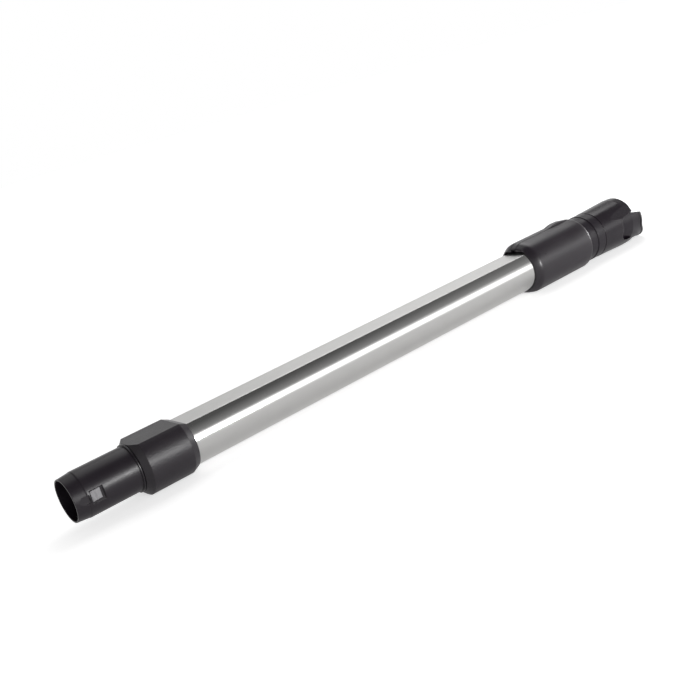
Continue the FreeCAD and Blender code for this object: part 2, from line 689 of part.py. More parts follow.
# Inner tube with its row of notches
inner_tube = dee_tube("inner_tube", inner_start, inner_end - inner_start, inner_section, inner_bore)
notch = new_sketch(inner_tube, "notch", "XY_Plane")
notch_half = tooth_half + d.notch_play
rectangle(notch, tooth_x - notch_half, tooth_x + notch_half, -(d.notch_width / 2), d.notch_width / 2)
first_notch = pocket(inner_tube, notch)
notches = inner_tube.newObject("PartDesign::LinearPattern", "inner_tube_notches")
notches.Originals = [first_notch]
notches.Direction = (origin_feature(inner_tube, "X_Axis"), [""])
notches.Reversed = True
notches.Length = travel.number
notches.setExpression("Length", travel.text)
notches.Occurrences = int(steps.number) + 1
notches.setExpression("Occurrences", "%s + 1" % steps.text)
inner_tube.Tip = notches

# Guide ring at the hidden end of the inner tube
guide_section = (tube_bore[0] - d.guide_play, tube_bore[1] - d.guide_play)
guide_ring = dee_tube("guide_ring", inner_start, d.guide_length, guide_section, inner_press)

# Front ring of the handle end
front_ring = new_body("front_ring")
profile = new_sketch(front_ring, "profile", "XZ_Plane", zero)
front_end = front_start + d.front_length
outline(profile, [
    (front_start, zero),
    (front_start, d.front_radius),
    (front_end, d.front_radius),
    (front_end, zero),
])
turn(front_ring, profile)
bore = new_sketch(front_ring, "bore", "YZ_Plane", front_start)
dee(bore, *inner_press)
pocket(front_ring, bore)

# Handle socket: stepped front, sleeve and flared, slanted rim
socket = new_body("handle_socket")
profile = new_sketch(socket, "profile", "XZ_Plane")
step_end = socket_start + d.socket_step
flare_start = cover_start + d.flare_start
flare_end = flare_start + d.flare_length
blank_end = overall + d.rim_radius
outline(profile, [
    (socket_start, zero),
    (socket_start, d.socket_step_radius - d.edge_bevel),
    (socket_start + d.edge_bevel, d.socket_step_radius),
    (step_end, d.socket_step_radius),
    (step_end, d.sleeve_radius),
    (flare_start, d.sleeve_radius),
    (flare_end, d.rim_radius),
    (blank_end, d.rim_radius),
    (blank_end, zero),
])
turn(socket, profile)
seat = new_sketch(socket, "seat", "YZ_Plane", socket_start)
dee(seat, *inner_press)
pocket(socket, seat, d.socket_grip + d.press_gap)
bore = new_sketch(socket, "bore", "YZ_Plane", inner_end)
circle(bore, d.socket_bore)
pocket(socket, bore)
rim = new_sketch(socket, "rim", "XZ_Plane")
reach = d.rim_radius * 2
lean = (d.rim_slope * d.rim_slope + 1).root()
scoop_x = cover_start + d.scoop_place
rim_curve = d.rim_round * d.rim_slope / (lean - 1)
outline(rim, [
    (rim_x + d.rim_slope * (reach - d.rim_bend), -reach),
    (blank_end + reach, -reach),
    (blank_end + reach, reach),
    (scoop_x, reach),
    (scoop_x, d.scoop_height + d.scoop_rise),
    (rim_x, d.scoop_height),
    (rim_x, d.rim_round - d.rim_bend, rim_curve),
    (rim_x + d.rim_round * d.rim_slope / lean, -(d.rim_bend + d.rim_round / lean)),
])
pocket(socket, rim, symmetric=True)

# Hooded cover with a jaw cut through both sides
cover = new_body("socket_cover")
profile = new_sketch(cover, "profile", "XZ_Plane")
cover_end = cover_start + d.cover_length
crest_place = cover_start + d.cover_crest_place
seat_radius = d.sleeve_radius + d.press_gap
outline(profile, [
    (cover_start, seat_radius),
    (cover_start, d.cover_radius - d.edge_bevel),
    (cover_start + d.edge_bevel, d.cover_radius),
    (crest_place, d.cover_crest),
    (cover_end, d.cover_crest - d.cover_end_drop),
    (cover_end, d.cover_crest - d.cover_wall),
    (flare_start, d.cover_crest - d.cover_wall),
    (flare_start, d.cover_radius - d.cover_wall),
    (cover_start + d.cover_seat, d.cover_radius - d.cover_wall),
    (cover_start + d.cover_seat, seat_radius),
])
turn(cover, profile)
jaw = new_sketch(cover, "jaw", "XZ_Plane")
jaw_x = cover_start + d.jaw_place
jaw_back = cover_end + d.cover_crest
lip_x = jaw_x + d.jaw_round
lip_run = (jaw_back - lip_x) * d.jaw_flare
throat_top = d.jaw_upper - d.jaw_round / 2
throat_low = -d.jaw_lower + d.jaw_round / 2
outline(jaw, [
    (jaw_x, throat_low, d.jaw_round),
    (lip_x, -d.jaw_lower),
    (jaw_back, -d.jaw_lower - lip_run),
    (jaw_back, d.jaw_upper + lip_run),
    (lip_x, d.jaw_upper, d.jaw_round),
    (jaw_x, throat_top),
])
pocket(cover, jaw, symmetric=True)
facets = new_sketch(cover, "facets", "YZ_Plane", cover_start)
facet_height = (d.cover_crest - d.facet_depth) * (d.facet_lean * d.facet_lean + 1).root()
facet_half = facet_height / d.facet_lean
outline(facets, [
    (-facet_half, zero),
    (zero, facet_height),
    (facet_half, zero),
    (facet_half * 2, zero),
    (facet_half * 2, facet_height * 2),
    (-(facet_half * 2), facet_height * 2),
    (-(facet_half * 2), zero),
])
pocket(cover, facets)
rest_land(cover, cover_start, cover_end)

# Each piece goes to the same place, so that the wand stands on z = 0
for body in bodies:
    body.Placement.Base = FreeCAD.Vector(-overall.number / 2, 0, d.rest_drop.number)
    body.setExpression("Placement.Base.x", "-1 * %s / 2" % overall.text)
    body.setExpression("Placement.Base.z", d.rest_drop.text)

doc.recompute()

# Nothing is written unless every object is sound
for item in doc.Objects:
    if "Invalid" in item.State or "Error" in item.State:
        raise RuntimeError("%s is not sound: %s" % (item.Label, item.State))
    if item.TypeId in ("PartDesign::Pocket", "PartDesign::Groove"):
        if item.BaseFeature.Shape.Volume - item.Shape.Volume < 0.01:
            raise RuntimeError("%s cuts nothing" % item.Label)
for body in bodies:
    if body.Shape.isNull() or not body.Shape.isValid() or len(body.Shape.Solids) != 1:
        raise RuntimeError("%s has no sound solid" % body.Label)

os.makedirs("parts", exist_ok=True)
for body in bodies:
    body.Shape.exportStep("parts/%s.step" % body.Label)
    box = body.Shape.BoundBox
    print("%-16s x %8.2f %8.2f  y %7.2f %7.2f  z %6.2f %6.2f  volume %9.1f" % (
        body.Label, box.XMin, box.XMax, box.YMin, box.YMax, box.ZMin, box.ZMax, body.Shape.Volume))
print("overall length %.2f" % overall.number)
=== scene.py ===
"""Looks of a telescopic vacuum cleaner wand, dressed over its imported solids.

Everything is in metres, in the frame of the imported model: +X runs from the nozzle spigot to the
handle socket, +Z stands out of the tube's flat and -Y is the side with the latch pocket.
"""

import logging
import math
from dataclasses import dataclass, field
from enum import Enum
from typing import Mapping, Protocol, Sequence, Union

import bmesh
import bpy
from mathutils import Matrix, Vector


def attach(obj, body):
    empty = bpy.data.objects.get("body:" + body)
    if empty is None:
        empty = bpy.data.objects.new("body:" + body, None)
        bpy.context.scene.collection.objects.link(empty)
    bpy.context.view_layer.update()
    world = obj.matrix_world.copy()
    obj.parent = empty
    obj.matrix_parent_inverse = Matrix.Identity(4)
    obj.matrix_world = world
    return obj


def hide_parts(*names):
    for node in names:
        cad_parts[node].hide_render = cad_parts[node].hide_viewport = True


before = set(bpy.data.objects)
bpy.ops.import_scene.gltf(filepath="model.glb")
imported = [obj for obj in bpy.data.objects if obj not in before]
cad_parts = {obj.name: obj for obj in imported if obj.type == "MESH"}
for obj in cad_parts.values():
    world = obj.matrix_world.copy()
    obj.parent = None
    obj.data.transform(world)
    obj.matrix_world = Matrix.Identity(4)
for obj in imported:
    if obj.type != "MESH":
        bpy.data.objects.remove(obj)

LOG = logging.getLogger("wand")
MM = 0.001
HALF_LENGTH = 0.317
AXIS_HEIGHT = 0.0226

Colour = tuple[float, float, float]
Settings = Mapping[str, object]


def along(station: float) -> float:
    """Turns a station in mm from the nozzle end into the frame's x in metres."""
    return station * MM - HALF_LENGTH


class Ends(Enum):
    """What becomes of the two ends of a skin."""

    CAPPED = "capped"
    JOINED = "joined"


class Body(Enum):
    """Bodies of the wand that a piece can ride on."""

    OUTER = "outer"
    SLIDER = "slider"
    TELESCOPE = "telescope"


class Reading:
    """A number that a shader reads off the surface, with ordinary arithmetic."""

    def __init__(self, shader: "Shader", socket: bpy.types.NodeSocket) -> None:
        """Keeps the shader and the socket that holds the number.

        Args:
            shader: Shader that the number belongs to.
            socket: Output socket that gives the number.
        """
        self.shader = shader
        self.socket = socket

    def _joined(self, operation: str, first: "Number", second: "Number") -> "Reading":
        """Adds one Math node.

        Args:
            operation: Name of the node's operation.
            first: Left side of the sum.
            second: Right side of the sum.

        Returns:
            The node's result.
        """
        node = self.shader.node("ShaderNodeMath", {"operation": operation}, {0: first, 1: second})
        return Reading(self.shader, node.outputs[0])

    def __add__(self, other: "Number") -> "Reading":
        """Gives self + other."""
        return self._joined("ADD", self, other)

    def __radd__(self, other: "Number") -> "Reading":
        """Gives other + self."""
        return self._joined("ADD", other, self)

    def __sub__(self, other: "Number") -> "Reading":
        """Gives self - other."""
        return self._joined("SUBTRACT", self, other)

    def __rsub__(self, other: "Number") -> "Reading":
        """Gives other - self."""
        return self._joined("SUBTRACT", other, self)

    def __mul__(self, other: "Number") -> "Reading":
        """Gives self * other."""
        return self._joined("MULTIPLY", self, other)

    def __rmul__(self, other: "Number") -> "Reading":
        """Gives other * self."""
        return self._joined("MULTIPLY", other, self)


Number = Union[float, Reading]
Feed = Union[float, Reading, bpy.types.NodeSocket, Sequence[float]]


class Shader:
    """The node tree of one material or world, and the few ways in which it grows."""

    def __init__(self, tree: bpy.types.NodeTree) -> None:
        """Takes over an empty tree.

        Args:
            tree: Node tree, which loses the nodes that it had.
        """
        self.tree = tree
        tree.nodes.clear()

    def node(self, kind: str, settings: Settings, feeds: Mapping[Union[int, str], Feed]) -> bpy.types.Node:
        """Adds one node.

        Args:
            kind: Blender's type of the node.
            settings: Properties to set first; "stops" are a ramp's places and grey values.
            feeds: Numbers, colours or links of the sockets, by name or index.

        Returns:
            The new node.
        """
        made = self.tree.nodes.new(kind)
        for name, value in settings.items():
            if name == "stops":
                self._set_stops(made.color_ramp, value)
            else:
                setattr(made, name, value)
        for name, feed in feeds.items():
            if isinstance(feed, Reading):
                self.tree.links.new(feed.socket, made.inputs[name])
            elif isinstance(feed, bpy.types.NodeSocket):
                self.tree.links.new(feed, made.inputs[name])
            else:
                made.inputs[name].default_value = feed
        return made

    @staticmethod
    def _set_stops(ramp: bpy.types.ColorRamp, stops: Sequence[tuple[float, float]]) -> None:
        """Sets the stops of a ramp.

        Args:
            ramp: Ramp with its two first stops.
            stops: Place and grey value of each stop, from low to high.
        """
        while len(ramp.elements) < len(stops):
            ramp.elements.new(1.0)
        for element, (place, grey) in zip(ramp.elements, stops):
            element.position = place
            element.color = (grey, grey, grey, 1.0)

    def place(self) -> bpy.types.NodeSocket:
        """Gives the place on the piece, in metres of the frame."""
        return self.node("ShaderNodeTexCoord", {}, {}).outputs["Object"]

    def height(self) -> Reading:
        """Gives the height of the place on the piece, in metres of the frame."""
        return Reading(self, self.node("ShaderNodeSeparateXYZ", {}, {"Vector": self.place()}).outputs["Z"])

    def stretched(self, scale: Sequence[float]) -> bpy.types.NodeSocket:
        """Stretches the place on the piece.

        Args:
            scale: Factor of each axis.

        Returns:
            The stretched place.
        """
        feeds = {"Vector": self.place(), "Scale": tuple(scale)}
        return self.node("ShaderNodeMapping", {}, feeds).outputs["Vector"]

    def noise(self, at: bpy.types.NodeSocket, scale: float, detail: float = 2.0) -> Reading:
        """Reads a soft noise.

        Args:
            at: Place where it is read.
            scale: Lumps per metre of the place.
            detail: Octaves of finer lumps.

        Returns:
            The noise, between 0 and 1.
        """
        feeds = {"Vector": at, "Scale": scale, "Detail": detail, "Roughness": 0.55}
        return Reading(self, self.node("ShaderNodeTexNoise", {}, feeds).outputs["Fac"])

    def ramp(self, value: Reading, stops: Sequence[tuple[float, float]]) -> Reading:
        """Bends a value through a ramp.

        Args:
            value: Number to bend.
            stops: Place and result of each stop.

        Returns:
            The bent number.
        """
        node = self.node("ShaderNodeValToRGB", {"stops": stops}, {"Fac": value})
        return Reading(self, node.outputs["Color"])

    def blend(self, share: Reading, first: Colour, second: Colour) -> bpy.types.NodeSocket:
        """Blends two colours.

        Args:
            share: Share of the second colour.
            first: Colour at 0.
            second: Colour at 1.

        Returns:
            The blended colour.
        """
        feeds = {0: share, 6: (*first, 1.0), 7: (*second, 1.0)}
        return self.node("ShaderNodeMix", {"data_type": "RGBA"}, feeds).outputs[2]

    def relief(self, height: Reading, depth: float, edge: float) -> bpy.types.NodeSocket:
        """Turns a height into a normal, with the piece's edges softened.

        Args:
            height: Height between 0 and 1.
            depth: Height in metres that 1 stands for.
            edge: Radius in metres of the softened edges.

        Returns:
            The normal.
        """
        soft = self.node("ShaderNodeBevel", {"samples": 6}, {"Radius": edge})
        feeds = {"Height": height, "Distance": depth, "Strength": 1.0, "Normal": soft.outputs["Normal"]}
        return self.node("ShaderNodeBump", {}, feeds).outputs["Normal"]


class Finish(Protocol):
    """Anything that can make the material of a piece."""

    name: str

    def dress(self, shader: Shader) -> bpy.types.Node:
        """Adds the finish's nodes and gives the surface shader."""


def material_of(finish: Finish) -> bpy.types.Material:
    """Makes a finish's material, or finds it when it is made already.

    Args:
        finish: The finish.

    Returns:
        Its material.
    """
    found = bpy.data.materials.get(finish.name)
    if found:
        return found
    made = bpy.data.materials.new(finish.name)
    made.use_nodes = True
    shader = Shader(made.node_tree)
    surface = finish.dress(shader)
    shader.node("ShaderNodeOutputMaterial", {}, {"Surface": surface.outputs[0]})
    return made


@dataclass(frozen=True)
class DrawnSteel:
    """Plated steel with fine lines drawn along it, and a brushed flat where it has one."""

    name: str
    colour: Colour
    roughness: float
    line_depth: float
    edge: float
    flat_height: float = 0.0
    flat_brushing: float = 0.0

    def dress(self, shader: Shader) -> bpy.types.Node:
        """Builds the steel: streaks in gloss and height, faint cloudy handling marks in gloss.

        Args:
            shader: Tree that takes the nodes.

        Returns:
            The surface shader.
        """
        lines = shader.noise(shader.stretched((4.0, 1000.0, 1000.0)), 4.2, 3.0)
        marks = shader.noise(shader.stretched((60.0, 90.0, 90.0)), 1.0, 4.0)
        smear = shader.ramp(marks, [(0.42, 0.0), (0.75, 1.0)])
        dark = tuple(0.9 * part for part in self.colour)
        gloss = self.roughness + (lines - 0.5) * 0.08 + smear * 0.05
        if self.flat_brushing:
            over = (shader.height() - self.flat_height) * 2000.0
            gloss = gloss + shader.ramp(over, [(0.0, 0.0), (0.3, 1.0)]) * self.flat_brushing
        feeds = {
            "Base Color": shader.blend(lines * 0.6 + smear * 0.3, self.colour, dark),
            "Metallic": 1.0,
            "Roughness": gloss,
            "Normal": shader.relief(lines, self.line_depth, self.edge),
        }
        return shader.node("ShaderNodeBsdfPrincipled", {}, feeds)


@dataclass(frozen=True)
class MouldedPlastic:
    """Black moulded plastic with a grain, slight flow clouds and rubbed places."""

    name: str
    colour: Colour
    roughness: float
    grain: float
    grain_depth: float
    rubbed: float
    edge: float = 0.0006
    sheen: float = 0.5

    def dress(self, shader: Shader) -> bpy.types.Node:
        """Builds the plastic: a spark-eroded grain, cloudy gloss and a paler tone that rises with the grain, the flow
        clouds and the rubbed places.

        Args:
            shader: Tree that takes the nodes.

        Returns:
            The surface shader.
        """
        grain = shader.noise(shader.place(), 1.0 / self.grain, 2.0)
        clouds = shader.noise(shader.place(), 45.0, 3.0)
        rubs = shader.ramp(shader.noise(shader.stretched((0.5, 1.0, 1.0)), 160.0, 4.0), [(0.55, 0.0), (0.8, 1.0)])
        pale = tuple(1.5 * part + 0.004 for part in self.colour)
        feeds = {
            "Base Color": shader.blend(clouds * 0.5 + grain * 0.3 + rubs * 0.2, self.colour, pale),
            "Roughness": self.roughness + (clouds - 0.5) * 0.12 - rubs * self.rubbed + (grain - 0.5) * 0.08,
            "Normal": shader.relief(grain, self.grain_depth, self.edge),
            "IOR": 1.5,
            "Specular IOR Level": self.sheen,
        }
        return shader.node("ShaderNodeBsdfPrincipled", {}, feeds)


@dataclass(frozen=True)
class SealRubber:
    """Soft black rubber of a wiper ring, with a bloom of dust."""

    name: str
    colour: Colour
    roughness: float

    def dress(self, shader: Shader) -> bpy.types.Node:
        """Builds the rubber.

        Args:
            shader: Tree that takes the nodes.

        Returns:
            The surface shader.
        """
        bloom = shader.noise(shader.place(), 400.0, 4.0)
        dust = tuple(part + 0.02 for part in self.colour)
        feeds = {
            "Base Color": shader.blend(bloom * 0.6, self.colour, dust),
            "Roughness": self.roughness + (bloom - 0.5) * 0.1,
            "Normal": shader.relief(bloom, 0.00002, 0.0003),
        }
        return shader.node("ShaderNodeBsdfPrincipled", {}, feeds)


class Finishes:
    """The finishes of this wand."""

    TUBE = DrawnSteel(
        "plated_tube_steel", (0.575, 0.57, 0.562),
        roughness=0.13, line_depth=0.0000012, edge=0.0011, flat_height=0.03805, flat_brushing=0.3,
    )
    PIN = DrawnSteel("ground_pin_steel", (0.55, 0.55, 0.55), roughness=0.25, line_depth=0.000002, edge=0.0002)
    SPRING = DrawnSteel("blued_spring_steel", (0.22, 0.24, 0.3), roughness=0.3, line_depth=0.000002, edge=0.0002)
    SPIGOT = MouldedPlastic(
        "spigot_satin_black", (0.0095, 0.0068, 0.01),
        roughness=0.34, grain=0.0005, grain_depth=0.000003, rubbed=0.05, sheen=0.36,
    )
    # Light grey tongue: partly its own grey, partly a painted highlight, made lighter to stand in for the bright light
    # that the pocket's floor reflects.
    LATCH = MouldedPlastic(
        "latch_grey_painted_highlight", (0.22, 0.215, 0.225),
        roughness=0.3, grain=0.0008, grain_depth=0.00012, rubbed=0.1, edge=0.0002,
    )
    COLLAR = MouldedPlastic(
        "collar_grained_black", (0.0098, 0.0071, 0.0103),
        roughness=0.38, grain=0.0013, grain_depth=0.00013, rubbed=0.04, sheen=0.42,
    )
    LOCK = MouldedPlastic(
        "lock_collar_satin_black", (0.0105, 0.0072, 0.011),
        roughness=0.33, grain=0.0005, grain_depth=0.000004, rubbed=0.06,
    )
    SLIDER = MouldedPlastic(
        "slider_satin_black", (0.012, 0.009, 0.0125),
        roughness=0.34, grain=0.0005, grain_depth=0.000005, rubbed=0.08,
    )
    INNER = MouldedPlastic(
        "inner_moulding_black", (0.007, 0.0053, 0.0074),
        roughness=0.42, grain=0.0006, grain_depth=0.000006, rubbed=0.04, sheen=0.3,
    )
    SOCKET = MouldedPlastic(
        "socket_satin_black", (0.009, 0.0062, 0.01),
        roughness=0.3, grain=0.0005, grain_depth=0.000003, rubbed=0.05, sheen=0.3,
    )
    COVER = MouldedPlastic(
        "cover_satin_black", (0.009, 0.0062, 0.0096),
        roughness=0.22, grain=0.0005, grain_depth=0.000003, rubbed=0.05, sheen=0.32,
    )
    BEAD = MouldedPlastic(
        "rim_bead_black", (0.008, 0.006, 0.0085),
        roughness=0.34, grain=0.0005, grain_depth=0.000003, rubbed=0.03, edge=0.0003,
    )
    WIPER = SealRubber("wiper_rubber", (0.012, 0.012, 0.012), roughness=0.6)


def carry_over(finishes: Mapping[str, Finish]) -> None:
    """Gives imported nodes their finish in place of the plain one.

    Args:
        finishes: Finish of each node, by the node's name.
    """
    for node, finish in finishes.items():
        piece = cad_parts[node]
        material = material_of(finish)
        piece.data.materials.clear()
        piece.data.materials.append(material)
        LOG.info("%s: carried over in %s", node, finish.name)


def read_off(curve: Sequence[tuple[float, float]], place: float) -> float:
    """Reads a value off a curve that is given by points.

    Args:
        curve: Points of place and value, in rising order of place.
        place: Place to read at; beyond the ends the end's value holds.

    Returns:
        The value there.
    """
    if place <= curve[0][0]:
        return curve[0][1]
    for (start, low), (end, high) in zip(curve, curve[1:]):
        if place <= end:
            return low + (high - low) * (place - start) / (end - start)
    return curve[-1][1]


def skin(name: str, rings: Sequence[Sequence[Vector]], ends: Ends) -> bpy.types.Object:
    """Lays a skin over closed rings of points.

    Args:
        name: Name of the new piece.
        rings: Rings in order along the piece, each with as many points.
        ends: What becomes of the first and the last ring.

    Returns:
        The new piece, in the scene.
    """
    shape = bmesh.new()
    made = [[shape.verts.new(point) for point in ring] for ring in rings]
    count = len(made[0])
    pairs = list(zip(made, made[1:]))
    if ends is Ends.JOINED:
        pairs.append((made[-1], made[0]))
    for low, high in pairs:
        for step in range(count):
            after = (step + 1) % count
            shape.faces.new((low[step], low[after], high[after], high[step]))
    if ends is Ends.CAPPED:
        shape.faces.new(list(reversed(made[0])))
        shape.faces.new(made[-1])
    bmesh.ops.recalc_face_normals(shape, faces=shape.faces)
    mesh = bpy.data.meshes.new(name)
    shape.to_mesh(mesh)
    shape.free()
    piece = bpy.data.objects.new(name, mesh)
    bpy.context.scene.collection.objects.link(piece)
    return piece


def finish_piece(piece: bpy.types.Object, finish: Finish, body: Body) -> None:
    """Smooths a piece, gives it its finish and puts it on its body.

    Args:
        piece: The piece.
        finish: Its finish.
        body: Body that it rides on.
    """
    for face in piece.data.polygons:
        face.use_smooth = True
    piece.data.set_sharp_from_angle(angle=math.radians(40.0))
    piece.data.materials.append(material_of(finish))
    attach(piece, body.value)
    LOG.info("%s: built in %s", piece.name, finish.name)


@dataclass
class NozzleEnd:
    """Spigot that the floor nozzle takes, and the lower collar that holds it on the tube."""

    pocket_start: float = 11.9
    pocket_length: float = 7.4
    tongue_low: float = -3.1
    tongue_high: float = 4.3
    tongue_front: float = 17.0
    tongue_back: float = 16.35
    tongue_sole: float = 16.1
    rib_height: float = 0.35
    rib_count: int = 3
    rib_share: float = 0.6
    tongue_steps: int = 60

    def build(self) -> None:
        """Dresses the nozzle end and adds the latch tongue in the spigot's pocket."""
        carry_over({"nozzle_spigot": Finishes.SPIGOT, "lower_collar": Finishes.COLLAR})
        self._latch_tongue()

    def _latch_tongue(self) -> None:
        """Builds the tongue: a plate that slopes into the pocket, with low ribs across it."""
        rings = []
        for step in range(self.tongue_steps + 1):
            share = step / self.tongue_steps
            top = self.tongue_front + (self.tongue_back - self.tongue_front) * share
            ribbed = share < self.rib_share
            wave = math.sin(share * math.pi * self.rib_count / self.rib_share) if ribbed else 0.0
            top += self.rib_height * max(0.0, wave) ** 2
            x = along(self.pocket_start + self.pocket_length * share)
            low, high = AXIS_HEIGHT + self.tongue_low * MM, AXIS_HEIGHT + self.tongue_high * MM
            section = ((self.tongue_sole, low), (top, low), (top, high), (self.tongue_sole, high))
            rings.append([Vector((x, -out * MM, z)) for out, z in section])
        tongue = skin("latch_tongue", rings, Ends.CAPPED)
        finish_piece(tongue, Finishes.LATCH, Body.OUTER)


@dataclass
class SteelTubes:
    """Outer and inner tube with the flat along their top."""

    def build(self) -> None:
        """Dresses both tubes."""
        carry_over({"outer_tube": Finishes.TUBE, "inner_tube": Finishes.TUBE})


@dataclass
class SlidingLock:
    """Lock collar with its release strip, and the mechanism inside it."""

    front: float = 462.0
    back: float = 541.5
    hood_reach: float = 0.4
    hood_half: float = 25.0
    hood_fade: float = 40.0
    tube_hold: float = 20.08
    tube_close: float = 15.9
    close_at: float = 467.5
    hold_end: float = 499.8
    cavity: float = 22.45
    arch: float = 18.3
    arch_limit: float = 21.0
    arch_half: float = 36.0
    lip: tuple[tuple[float, float], ...] = (
        (0.0, 20.3),
        (0.15, 20.75),
        (0.5, 21.15),
        (1.5, 21.9),
        (3.0, 22.95),
        (4.5, 23.85),
        (5.4, 24.3),
        (6.2, 24.6),
        (7.0, 24.78),
        (8.5, 24.9),
        (12.0, 24.98),
    )
    body: tuple[tuple[float, float], ...] = (
        (485.0, 24.98),
        (500.0, 24.98),
        (515.0, 24.98),
        (530.0, 24.98),
        (537.5, 24.96),
        (539.2, 24.85),
        (540.2, 24.62),
        (540.9, 24.25),
        (541.3, 23.75),
        (541.45, 23.3),
        (541.5, 22.9),
    )
    bottom: float = -22.55
    cavity_bottom: float = -22.4
    slot_columns: int = 6
    ring_columns: int = 116
    slot_half: float = 3.8
    slot_radius: float = 24.0
    slot_start: float = 464.2
    slot_floor: tuple[tuple[float, float], ...] = ((464.2, 20.6), (468.5, 22.9))
    strip_half: float = 3.3
    strip_lift: float = 0.12
    strip_end: float = 541.0
    strip_sole: float = 18.6
    strip_edge: float = 0.17
    strip_edge_fall: float = 0.25
    strip_columns: int = 12
    crest: tuple[tuple[float, float], ...] = (
        (506.0, 0.0),
        (509.0, 0.15),
        (518.0, 1.75),
        (521.0, 1.85),
        (528.0, 1.6),
        (535.5, 0.3),
        (539.0, -0.2),
        (541.0, -0.9),
    )

    def build(self) -> None:
        """Builds the collar and the release strip, and dresses the mechanism inside."""
        carry_over(
            {
                "guide_bush": Finishes.INNER,
                "lock_end_ring": Finishes.INNER,
                "wiper_ring": Finishes.WIPER,
                "lock_pawl": Finishes.INNER,
                "pawl_pin": Finishes.PIN,
                "pawl_spring": Finishes.SPRING,
            }
        )
        self._collar()
        self._strip()

    def _front_at(self, angle: float) -> float:
        """Finds where the collar's front stands at an angle from the top.

        Args:
            angle: Angle from the top in degrees.

        Returns:
            Station of the front in mm.
        """
        share = read_off(((self.hood_half, 1.0), (self.hood_fade, 0.0)), abs(angle))
        return self.front - self.hood_reach * share * share * (3.0 - 2.0 * share)

    def _hold_at(self, angle: float) -> float:
        """Finds the mouth's radius: round on the tube, and an arch over the tube's flat.

        Args:
            angle: Angle from the top in degrees.

        Returns:
            Radius of the mouth in mm.
        """
        reach = abs(angle)
        arch = min(self.arch / math.cos(math.radians(min(reach, self.arch_half))), self.arch_limit)
        share = read_off(((self.arch_half, 0.0), (self.hood_fade, 1.0)), reach)
        return arch + (self.tube_hold - arch) * share

    def _columns(self) -> list[tuple[float, bool]]:
        """Lists the collar's columns as angles in degrees, and whether each lies in the slot."""
        edge = math.degrees(math.asin(self.slot_half / self.slot_radius))
        inside = [-edge + 2.0 * edge * step / self.slot_columns for step in range(self.slot_columns + 1)]
        width = 360.0 - 2.0 * edge
        outside = [edge + width * step / self.ring_columns for step in range(self.ring_columns + 1)]
        return [(angle, True) for angle in inside] + [(angle, False) for angle in outside]

    def _collar(self) -> None:
        """Builds the collar as one skin: lip, body, rounded end, cavity and the hold on the tube."""
        rings = []
        for turn, in_slot in self._columns():
            angle = turn if turn <= 180.0 else turn - 360.0
            front = self._front_at(angle)
            hold = self._hold_at(angle)
            outer = [(front + back, max(radius, hold + 0.3)) for back, radius in self.lip]
            outer += list(self.body)
            if in_slot:
                outer = [self._sunk(station, radius) for station, radius in outer]
                front = self.slot_start
            closed = min(self.tube_close / max(math.cos(math.radians(angle)), 0.1), self.tube_hold)
            inner = [(self.back, self.cavity), (self.hold_end + 0.4, self.cavity), (self.hold_end, closed)]
            inner += [(self.close_at, closed), (front, hold)]
            rings.append([self._place(angle, station, radius) for station, radius in outer + inner])
        collar = skin("lock_collar", rings, Ends.JOINED)
        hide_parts("lock_body")
        finish_piece(collar, Finishes.LOCK, Body.OUTER)

    def _sunk(self, station: float, radius: float) -> tuple[float, float]:
        """Sinks a point of the collar to the floor of the strip's slot.

        Args:
            station: Station of the point in mm.
            radius: Its radius in mm.

        Returns:
            Station and radius in the slot.
        """
        floor = read_off(self.slot_floor, station)
        return max(station, self.slot_start + 0.002 * (station - self.front + 5.0)), min(radius, floor)

    def _place(self, angle: float, station: float, radius: float) -> Vector:
        """Places a point of the collar, level with the land that it rests on at the bottom.

        Args:
            angle: Angle from the top in degrees, towards the near side.
            station: Station in mm.
            radius: Radius in mm.

        Returns:
            The point in metres.
        """
        turn = math.radians(angle)
        deepest = self.bottom if radius > self.cavity + 0.01 else self.cavity_bottom
        z = max(radius * math.cos(turn), deepest)
        return Vector((along(station), -radius * math.sin(turn) * MM, AXIS_HEIGHT + z * MM))

    def _strip(self) -> None:
        """Builds the release strip: domed with the collar, with a rounded nose and a thumb crest."""
        lead = self.front - self.hood_reach
        stations = [(lead + back, radius) for back, radius in self.lip]
        stations += [(485.0, 24.98), (500.0, 24.98)]
        stations += [(506.0 + step, 24.98) for step in range(34)]
        stations += [(540.0, 24.8), (540.6, 24.5), (self.strip_end, 24.0)]
        rings = []
        for station, radius in stations:
            top = radius + read_off(self.crest, station) + self.strip_lift
            sole = max(self.strip_sole, read_off(self.slot_floor, station) + 0.15)
            sole = min(sole, top - 0.25)
            ring = []
            for step in range(self.strip_columns + 1):
                side = -self.strip_half + 2.0 * self.strip_half * step / self.strip_columns
                outward = max(0.0, abs(side) / self.strip_half - (1.0 - self.strip_edge))
                fall = self.strip_edge_fall * outward / self.strip_edge
                ring.append((side, math.sqrt(top * top - side * side) - fall))
            ring += [(self.strip_half, sole), (-self.strip_half, sole)]
            rings.append([Vector((along(station), side * MM, AXIS_HEIGHT + z * MM)) for side, z in ring])
        strip = skin("release_strip", rings, Ends.CAPPED)
        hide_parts("release_slider")
        finish_piece(strip, Finishes.SLIDER, Body.SLIDER)


